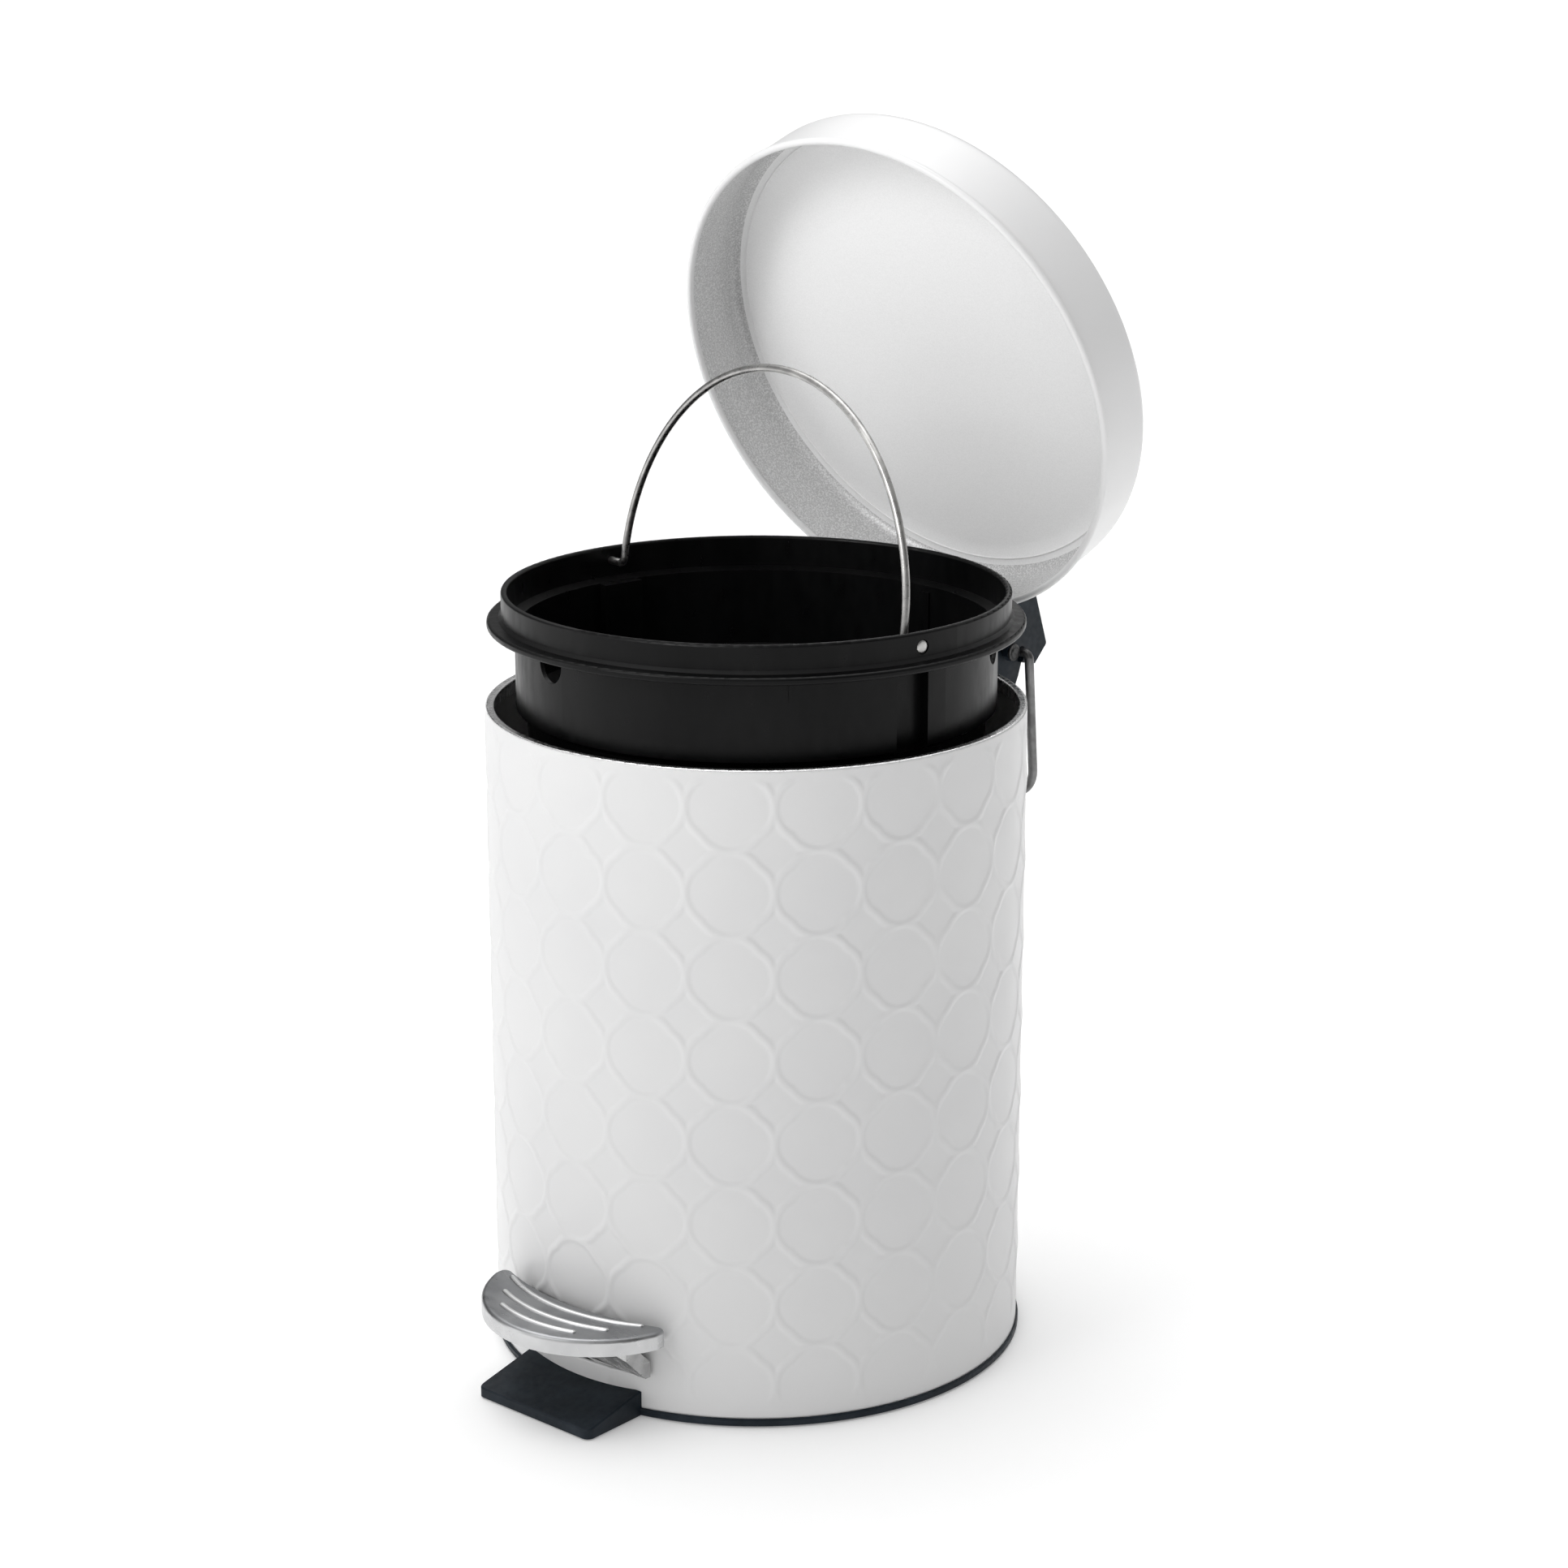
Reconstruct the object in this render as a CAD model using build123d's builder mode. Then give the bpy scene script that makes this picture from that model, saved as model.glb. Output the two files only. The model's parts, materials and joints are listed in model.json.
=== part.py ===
"""Round pedal bin: a steel can with a hinged lid, a lift-out bucket and a foot pedal.

Millimetres, +Z up. The origin is the centre of the can on the floor, the pedal points to -Y and the
lid hinge is at +Y. The lid stands open and the bucket is lifted a little out of its seat.
"""

import os
from math import atan2, cos, degrees, radians, sin, sqrt

from build123d import *

# --- can ---
SHELL_R = 102.5  # outside radius of the painted shell
SHELL_T = 0.8
SHELL_IN = SHELL_R - SHELL_T
SHELL_LOW = 3.5
SHELL_TOP = 252.0
RIM_TOP = SHELL_TOP + 0.4
RIM_LOW = 246.0
BASE_LOW = 0.6  # the rubber ring stands this far below the base
BASE_R = 103.4
BASE_IN = 82.0
COLLAR_TOP = 14.0  # top of the base's upstand inside the shell
COLLAR_IN = 98.4
PAN_Z = 36.2  # underside of the floor pan
PAN_T = 1.6
PAN_R = 100.2
RUBBER_R = 91.0  # middle of the rubber ring under the base
RUBBER_WIDE = 6.0
RUBBER_DEEP = 1.0  # how far it sits in its groove

# --- foot plate and pedal ---
PLATE_HALF = 29.0
PLATE_FRONT = -127.0
PLATE_FRONT_TOP = 4.4
PLATE_BACK = -99.0
PLATE_BACK_TOP = 10.4
TREAD_HALF = 42.5
TREAD_FRONT = -134.5
TREAD_BACK_R = 105.6  # the tread's back edge follows the can at this radius
TREAD_TOP = 39.6
TREAD_SKIRT = 6.6
TREAD_T = 1.3
LEVER_T = 1.6
LEVER_HALF = 34.0  # half width outside the shell
LEVER_WAIST_R = 104.4  # the wide part ends at this radius
LEVER_INNER_HALF = 25.6  # half width through the slot and under the floor pan
LEVER_CURL = 6.0  # height of the lever's turned-up edges
SLOT_HALF = 27.4
SLOT_LOW = 16.9
SLOT_TOP = 36.2
LEVER_OUT_Z = 18.6  # middle of the lever's sheet where it leaves the shell
LEVER_IN_Z = 15.4  # and under the floor pan
LEVER_TAIL_Z = 22.2  # and at its tail
AXLE_Z = 21.0  # the lever turns about x at y = 0
AXLE_R = 2.5
EAR_X = LEVER_INNER_HALF - LEVER_T
TAIL_Y = 97.0  # the push rod hooks into the lever's tail here
TAIL_Z = AXLE_Z + 5.2

# --- hinge, lid and push rod ---
HINGE_Y = 115.0
HINGE_Z = 255.0
LID_OPEN_DEG = 70.0
PIN_R = 2.0
RUN = 0.05  # radial clearance of a running fit
LID_LOW = 256.5  # the closed lid's lower edge
LID_H = 30.5
LID_R = 100.4
LID_T = 0.9
LID_CORNER = 6.0
BEAD_R = 1.4
ROD_R = 1.6
CRANK_Y = 7.5  # the rod's top hook stays this far in front of the hinge pin
ROD_TRAVEL = 10.35
ROD_TOP_Z = HINGE_Z + ROD_TRAVEL / 2
CHEEK_OUT = 30.6  # rear bracket's cheeks
CHEEK_T = 3.0
HOOD_OUT = 34.0  # lid bracket's hood, outside the cheeks
HOOD_T = 2.4
SADDLE_T = 2.5

# --- bucket, bail and carrying handle ---
LIFT = 30.0  # how far the bucket is raised above its seat
BUCKET_WALL = 1.6
FLANGE_R = 101.5
FLANGE_T = 2.8
FLANGE_LOW = RIM_TOP + 0.1 + LIFT
COLLAR_R = 96.0
COLLAR_WALL = 2.4
BUCKET_TOP = FLANGE_LOW + 13.5
STEP_Z = FLANGE_LOW - 30.5
WALL_R = 91.0  # above the step
WALL_LOW_R = 87.0  # under the step
BOTTOM_R = 80.0
BUCKET_LOW = PAN_Z + PAN_T + 3.2 + LIFT
BAIL_Z = BUCKET_TOP - 5.5
BAIL_TURN_DEG = -10.5  # the bail's pins are turned this much about the can's axis
BAIL_LEAN_DEG = 8.0  # the raised bail leans this much to the rear
BAIL_R = 85.0
BAIL_WIRE_R = 1.5
HANDLE_X = 37.6
HANDLE_Y = 121.0
HANDLE_Z = 254.0
HANDLE_DROP = 60.0
HANDLE_WIRE_R = 1.85

os.makedirs("parts", exist_ok=True)
LID_SWING = Location((0, HINGE_Y, HINGE_Z), (-LID_OPEN_DEG, 0, 0)) * Location((0, -HINGE_Y, -HINGE_Z))


def ribbon(points, low, high):
    """Corners of a strip that follows a run of points, from one offset above the run to another."""

    def side(offset):
        out = []
        for i, point in enumerate(points):
            here = Vector(*point)
            before = here - Vector(*points[i - 1]) if i else Vector(*points[1]) - here
            after = Vector(*points[i + 1]) - here if i + 1 < len(points) else before
            n1 = Vector(-before.Y, before.X).normalized()
            n2 = Vector(-after.Y, after.X).normalized()
            mitre = (n1 + n2).normalized()
            out.append(here + mitre * (offset / mitre.dot(n1)))
        return [(v.X, v.Y) for v in out]

    return side(low) + side(high)[::-1]


def radial(angle_deg, radius, z):
    """A plane on a cylinder about the can's axis, facing outwards, its y down. 0 degrees is the rear, +Y."""
    a = radians(angle_deg)
    out = (sin(a), cos(a), 0)
    return Plane(origin=(out[0] * radius, out[1] * radius, z), x_dir=(cos(a), -sin(a), 0), z_dir=out)


def swung(plane):
    """A plane of the closed lid, carried to where the open lid has it."""
    return Plane(LID_SWING * plane.location)


def save(name, part):
    part.label = name
    export_step(part, f"parts/{name}.step")


# --- base ring with its foot plate: the black plastic moulding that the can stands on ---
with BuildPart() as base_ring:
    with BuildSketch(Plane.XZ):
        with Locations(((BASE_IN + BASE_R) / 2, (BASE_LOW + SHELL_LOW) / 2)):
            Rectangle(BASE_R - BASE_IN, SHELL_LOW - BASE_LOW)
        with Locations(((COLLAR_IN + SHELL_IN) / 2, (BASE_LOW + COLLAR_TOP) / 2)):
            Rectangle(SHELL_IN - COLLAR_IN, COLLAR_TOP - BASE_LOW)
    revolve(axis=Axis.Z)
    outer = base_ring.edges().filter_by(GeomType.CIRCLE).filter_by(
        lambda e: e.radius > BASE_R - 0.1
    )
    fillet(outer.sort_by(Axis.Z)[-1], 0.6)
    chamfer(outer.sort_by(Axis.Z)[0], 0.4)
    with BuildSketch(Plane.YZ):
        Polygon(
            (PLATE_FRONT, BASE_LOW),
            (PLATE_FRONT, PLATE_FRONT_TOP),
            (PLATE_BACK, PLATE_BACK_TOP),
            (-90.0, 3.5),
            (-90.0, BASE_LOW),
            align=None,
        )
    extrude(amount=PLATE_HALF, both=True)
    corners = base_ring.edges().filter_by(Axis.Z).filter_by(lambda e: e.center().Y < PLATE_FRONT + 1)
    fillet(corners, 3.0)
    top = base_ring.faces().filter_by(
        lambda f: f.normal_at().Z > 0.9 and f.normal_at().Y < -0.1 and f.center().Y < -103
    )
    front_edges = top.edges().filter_by(lambda e: e.center().Y < -101)
    chamfer(front_edges, 0.5)
    # groove that takes the shell's lower edge
    with BuildSketch(Plane.XY.offset(SHELL_LOW)):
        Circle(SHELL_R + 0.1)
        Circle(SHELL_IN, mode=Mode.SUBTRACT)
    extrude(amount=COLLAR_TOP, mode=Mode.SUBTRACT)
    # room for the lever's tail and the rod
    with BuildSketch(Plane.XY.offset(SHELL_LOW)):
        with Locations((0, COLLAR_IN)):
            Rectangle(24, 12)
    extrude(amount=COLLAR_TOP, mode=Mode.SUBTRACT)
    # groove of the rubber ring
    with BuildSketch(Plane.XZ):
        with Locations((RUBBER_R, (BASE_LOW + RUBBER_DEEP) / 2)):
            Rectangle(RUBBER_WIDE, BASE_LOW + RUBBER_DEEP)
    revolve(axis=Axis.Z, mode=Mode.SUBTRACT)
save("base_ring", base_ring.part)

# --- rubber ring that the bin stands on, pressed into the base from below ---
with BuildPart() as rubber_ring:
    with BuildSketch(Plane.XZ):
        with Locations((RUBBER_R, (BASE_LOW + RUBBER_DEEP) / 2)):
            Rectangle(RUBBER_WIDE, BASE_LOW + RUBBER_DEEP)
    revolve(axis=Axis.Z)
    chamfer(rubber_ring.edges().sort_by(Axis.Z)[:2], 0.3)
save("rubber_ring", rubber_ring.part)

# --- painted steel shell ---
RIVET_R = 1.6
HEAD_R = 2.8
HEAD_H = 1.0
ROD_SLOT_Z = 230.5
ROD_SLOT_LONG = 24.0
ROD_SLOT_WIDE = 5.2
GUIDE_Z = 130.0
GUIDE_RIVETS = [radial(a, SHELL_IN, GUIDE_Z) for a in (-5.6, 5.6)]
SADDLE_RIVETS = [radial(a, SHELL_IN, z) for a in (-13.0, 13.0) for z in (229.0, 241.0)]
with BuildPart() as body_shell:
    with BuildSketch(Plane.XY.offset(SHELL_LOW)):
        Circle(SHELL_R)
        Circle(SHELL_IN, mode=Mode.SUBTRACT)
    extrude(amount=SHELL_TOP - SHELL_LOW)
    # slot for the lever
    with BuildSketch(Plane.XZ):
        with Locations((0, (SLOT_LOW + SLOT_TOP) / 2)):
            RectangleRounded(2 * SLOT_HALF, SLOT_TOP - SLOT_LOW, 2.0)
    extrude(amount=SHELL_R + 5, mode=Mode.SUBTRACT)
    # slot for the rod
    with BuildSketch(Plane.XZ.offset(-SHELL_R - 5)):
        with Locations((0, ROD_SLOT_Z)):
            SlotOverall(ROD_SLOT_LONG, ROD_SLOT_WIDE, rotation=90)
    extrude(amount=20, mode=Mode.SUBTRACT)
    with Locations(*SADDLE_RIVETS, *GUIDE_RIVETS):
        Cylinder(RIVET_R, 6, mode=Mode.SUBTRACT)
save("body_shell", body_shell.part)

# --- bright rim ring: a hemmed steel band in the shell's mouth that the bucket's flange sits on ---
with BuildPart() as rim_ring:
    with BuildSketch(Plane.XZ):
        with Locations(((SHELL_IN - 0.4), (RIM_LOW + SHELL_TOP) / 2)):
            Rectangle(0.8, SHELL_TOP - RIM_LOW)
        with Locations(((SHELL_IN - 2.4 + SHELL_R - 0.1) / 2, RIM_TOP - 0.9)):
            RectangleRounded(SHELL_R - 0.1 - SHELL_IN + 2.4, 1.8, 0.8)
        with Locations((SHELL_R, SHELL_TOP - 5)):
            Rectangle(2 * SHELL_T, 10, mode=Mode.SUBTRACT)
    revolve(axis=Axis.Z)
save("rim_ring", rim_ring.part)

# --- floor pan: carries the lever's axle and keeps the bucket off the mechanism ---
PAN_EAR_X = LEVER_INNER_HALF + 0.5
PAN_EAR_T = 2.6
with BuildPart() as floor_pan:
    with BuildSketch(Plane.XZ):
        with Locations((PAN_R - 0.8, (COLLAR_TOP + PAN_Z) / 2)):
            Rectangle(1.6, PAN_Z - COLLAR_TOP)
        with Locations((PAN_R / 2, PAN_Z + PAN_T / 2)):
            Rectangle(PAN_R, PAN_T)
    revolve(axis=Axis.Z)
    rounded = floor_pan.edges().filter_by(GeomType.CIRCLE).sort_by(Axis.Z)[-1]
    fillet(rounded, 1.2)
    for side in (-1, 1):
        with BuildSketch(Plane.YZ.offset(side * (PAN_EAR_X + PAN_EAR_T / 2))):
            with BuildLine():
                Polyline((-9, PAN_Z), (-5, AXLE_Z))
                ThreePointArc((-5, AXLE_Z), (0, AXLE_Z - 5), (5, AXLE_Z))
                Polyline((5, AXLE_Z), (9, PAN_Z), (-9, PAN_Z))
            make_face()
            with Locations((0, AXLE_Z)):
                Circle(AXLE_R, mode=Mode.SUBTRACT)
        extrude(amount=PAN_EAR_T / 2, both=True)
    # front notch for the lever
    with Locations((0, -PAN_R, (COLLAR_TOP + PAN_Z) / 2)):
        Box(2 * SLOT_HALF + 3, 30, PAN_Z - COLLAR_TOP, mode=Mode.SUBTRACT)
    # rear notch for the rod
    with Locations((0, PAN_R, PAN_Z - 5)):
        Box(24, 16, 40, mode=Mode.SUBTRACT)
save("floor_pan", floor_pan.part)

# --- lever axle and its retaining rings ---
AXLE_HALF = PAN_EAR_X + PAN_EAR_T + 2.6
with BuildPart() as lever_axle:
    with BuildSketch(Plane.YZ):
        with Locations((0, AXLE_Z)):
            Circle(AXLE_R)
    extrude(amount=AXLE_HALF, both=True)
    chamfer(lever_axle.edges().filter_by(GeomType.CIRCLE), 0.4)
save("lever_axle", lever_axle.part)


def ring_pair(x_in, thickness, hole_r, outer_r, y, z):
    """Two flat rings on a shaft along x, mirrored about x = 0, each starting at x_in."""
    with BuildPart() as rings:
        for side in (-1, 1):
            with BuildSketch(Plane.YZ.offset(side * (x_in + thickness / 2))):
                with Locations((y, z)):
                    Circle(outer_r)
                    Circle(hole_r, mode=Mode.SUBTRACT)
            extrude(amount=thickness / 2, both=True)
    return rings.part


save("axle_clips", ring_pair(PAN_EAR_X + PAN_EAR_T, 1.0, AXLE_R, 4.4, 0, AXLE_Z))

# --- pedal lever: pressed steel, from under the tread through the shell to the rod at the rear ---
TONGUE_Z = TREAD_TOP - TREAD_T - LEVER_T / 2
LEVER_RUN = [(-125.5, TONGUE_Z), (-119.5, TONGUE_Z), (-101.0, LEVER_OUT_Z), (-88.0, LEVER_OUT_Z)]
LEVER_INNER_RUN = [
    (-88.0, LEVER_OUT_Z),
    (-60.0, LEVER_IN_Z),
    (22.0, LEVER_IN_Z),
    (84.0, LEVER_TAIL_Z),
    (99.5, LEVER_TAIL_Z),
]
CURL_RUN = LEVER_RUN[1:]
TAIL_X = 4.0
TREAD_RIVET_X = (-10, 10)
TREAD_RIVET_Y = -122.5
half_t = LEVER_T / 2
with BuildPart() as pedal_lever:
    with BuildSketch(Plane.YZ):
        Polygon(*ribbon(LEVER_RUN, -half_t, half_t), align=None)
    extrude(amount=LEVER_HALF, both=True)
    with BuildSketch(Plane.YZ):
        Polygon(*ribbon(LEVER_INNER_RUN, -half_t, half_t), align=None)
    extrude(amount=LEVER_INNER_HALF, both=True)
    # the inner strip narrows to the tail
    with BuildSketch(Plane.XY):
        for side in (-1, 1):
            Polygon(
                (side * 60, 14),
                (side * LEVER_INNER_HALF, 14),
                (side * 8, 66),
                (side * 8, 110),
                (side * 60, 110),
                align=None,
            )
    extrude(amount=60, mode=Mode.SUBTRACT)
    # turned-up edges with their curled lips
    for side in (-1, 1):
        with BuildSketch(Plane.YZ.offset(side * (LEVER_HALF - half_t))):
            Polygon(*ribbon(CURL_RUN, -half_t, LEVER_CURL - half_t), align=None)
        extrude(amount=half_t, both=True)
        with BuildSketch(Plane.YZ.offset(side * (LEVER_HALF - 1.7))):
            Polygon(*ribbon(CURL_RUN, LEVER_CURL - half_t - 1.3, LEVER_CURL - half_t), align=None)
        extrude(amount=1.7, both=True)
    # waist that passes through the shell's slot
    with BuildSketch(Plane.XY):
        Circle(LEVER_WAIST_R)
        Rectangle(2 * LEVER_INNER_HALF, 2 * LEVER_WAIST_R, mode=Mode.SUBTRACT)
    extrude(amount=PAN_Z, mode=Mode.SUBTRACT)
    # keep the curled edges under the tread's plate
    with Locations((0, -118, TONGUE_Z + half_t + 5)):
        Box(100, 40, 10, mode=Mode.SUBTRACT)
    # the lever narrows to its tongue inside the tread
    with BuildSketch(Plane.XY):
        for side in (-1, 1):
            Polygon(
                (side * 60, -111.5),
                (side * (LEVER_HALF + 0.1), -111.5),
                (side * 25, -118.5),
                (side * 17, -120.5),
                (side * 17, -140),
                (side * 60, -140),
                align=None,
            )
    extrude(amount=60, mode=Mode.SUBTRACT)
    # ears on the axle
    for side in (-1, 1):
        with BuildSketch(Plane.YZ.offset(side * (EAR_X + half_t))):
            with BuildLine():
                Polyline((-10, LEVER_IN_Z), (-4.6, AXLE_Z + 1))
                ThreePointArc((-4.6, AXLE_Z + 1), (0, AXLE_Z + 5), (4.6, AXLE_Z + 1))
                Polyline((4.6, AXLE_Z + 1), (10, LEVER_IN_Z), (-10, LEVER_IN_Z))
            make_face()
        extrude(amount=half_t, both=True)
    with BuildSketch(Plane.YZ):
        with Locations((0, AXLE_Z)):
            Circle(AXLE_R + RUN)
    extrude(amount=LEVER_INNER_HALF + 1, both=True, mode=Mode.SUBTRACT)
    # ear at the tail for the rod's hook
    with BuildSketch(Plane.YZ.offset(TAIL_X)):
        with Locations((TAIL_Y - 0.9, TAIL_Z - 0.4)):
            RectangleRounded(7.8, 8.8, 1.6)
    extrude(amount=LEVER_T)
    with BuildSketch(Plane.YZ):
        with Locations((TAIL_Y, TAIL_Z)):
            Circle(ROD_R + 0.35)
    extrude(amount=TAIL_X + LEVER_T + 1, mode=Mode.SUBTRACT)
    with Locations(*[(x, TREAD_RIVET_Y, TONGUE_Z) for x in TREAD_RIVET_X]):
        Cylinder(RIVET_R, 6, mode=Mode.SUBTRACT)
save("pedal_lever", pedal_lever.part)

# --- pedal tread: pressed crescent with a turned-down edge and three raised ribs ---
BACK_SAG = TREAD_BACK_R - sqrt(TREAD_BACK_R**2 - TREAD_HALF**2)
TIP_Y = -TREAD_BACK_R + BACK_SAG
FRONT_TIP_Y = TIP_Y - 7.0
RIB_R = 1.3
TREAD_RIBS = ((111.3, 108.3, 18.0), (119.3, 117.0, 13.0), (126.4, 124.6, 8.5))  # middle, end, half angle
with BuildSketch() as crescent:
    with BuildLine():
        ThreePointArc((-TREAD_HALF, TIP_Y), (0, -TREAD_BACK_R), (TREAD_HALF, TIP_Y))
        Line((TREAD_HALF, TIP_Y), (TREAD_HALF, FRONT_TIP_Y))
        ThreePointArc((TREAD_HALF, FRONT_TIP_Y), (0, TREAD_FRONT), (-TREAD_HALF, FRONT_TIP_Y))
        Line((-TREAD_HALF, FRONT_TIP_Y), (-TREAD_HALF, TIP_Y))
    make_face()
    fillet(crescent.vertices(), 3.2)
with BuildPart() as pedal_tread:
    with BuildSketch(Plane.XY.offset(TREAD_TOP - TREAD_SKIRT)):
        add(crescent.sketch)
    extrude(amount=TREAD_SKIRT)
    fillet(pedal_tread.faces().sort_by(Axis.Z)[-1].edges(), 1.8)
    # ribs, round wires half sunk in the plate, shorter towards the front
    for mid_r, end_r, half_deg in TREAD_RIBS:
        end_x = end_r * sin(radians(half_deg))
        end_y = -end_r * cos(radians(half_deg))
        with BuildLine(Plane.XY.offset(TREAD_TOP - 0.5)) as rib_line:
            ThreePointArc((-end_x, end_y), (0, -mid_r), (end_x, end_y))
        with BuildSketch(Plane(origin=rib_line.edge() @ 0, z_dir=rib_line.edge() % 0)):
            Circle(RIB_R)
        sweep(path=rib_line.edge())
        with Locations(rib_line.edge() @ 0, rib_line.edge() @ 1):
            Sphere(RIB_R)
    # hollow underneath
    with BuildSketch(Plane.XY.offset(TREAD_TOP - TREAD_SKIRT)):
        add(crescent.sketch)
        offset(amount=-TREAD_T, mode=Mode.REPLACE)
    extrude(amount=TREAD_SKIRT - TREAD_T, mode=Mode.SUBTRACT)
    with Locations(*[(x, TREAD_RIVET_Y, TREAD_TOP - TREAD_T) for x in TREAD_RIVET_X]):
        Cylinder(RIVET_R, 1.2, mode=Mode.SUBTRACT)
save("pedal_tread", pedal_tread.part)

# --- rivets that hold the tread on the lever, headed underneath ---
with BuildPart() as pedal_rivets:
    with Locations(*[(x, TREAD_RIVET_Y, TONGUE_Z - half_t) for x in TREAD_RIVET_X]):
        Cylinder(RIVET_R, LEVER_T + 0.6, align=(Align.CENTER, Align.CENTER, Align.MIN))
        Cylinder(2.6, 1.0, align=(Align.CENTER, Align.CENTER, Align.MAX))
save("pedal_rivets", pedal_rivets.part)

# --- push rod: one bent wire from the lever's tail to the lid's crank ---
ROD_OUT_Y = HINGE_Y - CRANK_Y
with BuildPart() as push_rod:
    with BuildLine() as rod_line:
        FilletPolyline(
            (9.4, TAIL_Y, TAIL_Z),
            (0, TAIL_Y, TAIL_Z),
            (0, TAIL_Y, 231.0),
            (0, ROD_OUT_Y, 243.0),
            (0, ROD_OUT_Y, ROD_TOP_Z),
            (9.4, ROD_OUT_Y, ROD_TOP_Z),
            radius=(2.4, 6.0, 6.0, 2.4),
        )
    with BuildSketch(Plane(origin=rod_line.wire() @ 0, z_dir=rod_line.wire() % 0)):
        Circle(ROD_R)
    sweep(path=rod_line.wire())
save("push_rod", push_rod.part)

# --- push-on clips on the rod's two hooks ---
with BuildPart() as rod_end_clips:
    for y, z in ((TAIL_Y, TAIL_Z), (ROD_OUT_Y, ROD_TOP_Z)):
        with BuildSketch(Plane.YZ.offset(7.4)):
            with Locations((y, z)):
                Circle(3.0)
                Circle(ROD_R, mode=Mode.SUBTRACT)
        extrude(amount=1.0)
save("rod_end_clips", rod_end_clips.part)

# --- guide that holds the rod against the shell, half way up, and its rivets ---
with BuildPart() as rod_guide:
    with BuildSketch(Plane.XY.offset(GUIDE_Z - 5)):
        with Locations((0, 97.0)):
            Rectangle(10, 6.4)
        with Locations((0, 99.4)):
            Rectangle(30, 3.2)
        Circle(SHELL_IN, mode=Mode.INTERSECT)
        with Locations((0, TAIL_Y)):
            Circle(ROD_R + 0.3, mode=Mode.SUBTRACT)
    extrude(amount=10)
    with Locations(*GUIDE_RIVETS):
        Cylinder(RIVET_R, 12, mode=Mode.SUBTRACT)
save("rod_guide", rod_guide.part)


def rivet_set(places, grip):
    """Rivets on outward-facing planes: a shank of the given grip and a head at each end."""
    with BuildPart() as rivets:
        with Locations(*places):
            Cylinder(RIVET_R, grip, align=(Align.CENTER, Align.CENTER, Align.MIN))
            with Locations((0, 0, -0.06)):
                Cylinder(HEAD_R, HEAD_H, align=(Align.CENTER, Align.CENTER, Align.MAX))
                Cylinder(RIVET_R, 0.1, align=(Align.CENTER, Align.CENTER, Align.MIN))
            with Locations((0, 0, grip)):
                Cylinder(HEAD_R, HEAD_H, align=(Align.CENTER, Align.CENTER, Align.MIN))
    return rivets.part


with BuildPart() as rod_guide_rivets:
    for place in GUIDE_RIVETS:
        inner = place.offset(-3.9)
        with Locations(inner):
            Cylinder(RIVET_R, 3.9 + SHELL_T, align=(Align.CENTER, Align.CENTER, Align.MIN))
save("rod_guide_rivets", rod_guide_rivets.part)

# --- rear bracket: black plastic saddle on the shell with a cheek at each side ---
CHEEK_MID = CHEEK_OUT - CHEEK_T / 2
BRACKET_OUTLINE = [
    (96.0, 217.5),
    (101.5, 217.5),
    (112.6, 228.8),
    (119.9, 236.4),
    (123.4, 243.2),
    (125.4, 248.6),
    (125.6, 256.0),
    (121.5, 261.0),
    (112.0, 261.0),
    (104.6, 254.5),
    (96.0, 250.0),
]
BACK_WALL_RUN = [(101.5, 217.5), (112.6, 228.8), (119.9, 236.4), (123.0, 242.4)]
with BuildPart() as rear_bracket:
    for side in (-1, 1):
        with BuildSketch(Plane.YZ.offset(side * CHEEK_MID)) as cheek:
            Polygon(*BRACKET_OUTLINE, align=None)
            fillet(cheek.vertices().sort_by(Axis.Y)[-4:], 2.6)
        extrude(amount=CHEEK_T / 2, both=True)
    # sloping back wall between the cheeks
    with BuildSketch(Plane.YZ):
        Polygon(*ribbon(BACK_WALL_RUN, 0, 2.4), align=None)
    extrude(amount=CHEEK_OUT - 1, both=True)
    # saddle
    with BuildSketch(Plane.XY.offset(218.0)):
        Circle(SHELL_R + SADDLE_T)
        with Locations((0, SHELL_R)):
            Rectangle(2 * CHEEK_OUT, 40, mode=Mode.INTERSECT)
    extrude(amount=32.0)
    with BuildSketch(Plane.XY.offset(200.0)):
        Circle(SHELL_R)
    extrude(amount=60.0, mode=Mode.SUBTRACT)
    # way for the rod and the lid's crank
    with Locations((0, SHELL_R + 1, 240.0)):
        Box(19, 8, 40, mode=Mode.SUBTRACT)
    with BuildSketch(Plane.YZ):
        with Locations((HINGE_Y, HINGE_Z)):
            Circle(PIN_R)
    extrude(amount=CHEEK_OUT + 1, both=True, mode=Mode.SUBTRACT)
    with BuildSketch(Plane.YZ):
        with Locations((HANDLE_Y, HANDLE_Z)):
            Circle(HANDLE_WIRE_R + RUN)
    extrude(amount=CHEEK_OUT + 1, both=True, mode=Mode.SUBTRACT)
    with Locations(*[place.offset(-2) for place in SADDLE_RIVETS]):
        Cylinder(RIVET_R, 12, mode=Mode.SUBTRACT)
save("rear_bracket", rear_bracket.part)
save("rear_bracket_rivets", rivet_set(SADDLE_RIVETS, SHELL_T + SADDLE_T))

# --- hinge pin and its retaining rings ---
PIN_HALF = HOOD_OUT + 1.5
with BuildPart() as hinge_pin:
    with BuildSketch(Plane.YZ):
        with Locations((HINGE_Y, HINGE_Z)):
            Circle(PIN_R)
    extrude(amount=PIN_HALF, both=True)
    chamfer(hinge_pin.edges().filter_by(GeomType.CIRCLE), 0.4)
save("hinge_pin", hinge_pin.part)
save("hinge_pin_clips", ring_pair(HOOD_OUT + 0.15, 0.8, PIN_R, 3.4, HINGE_Y, HINGE_Z))

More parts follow.
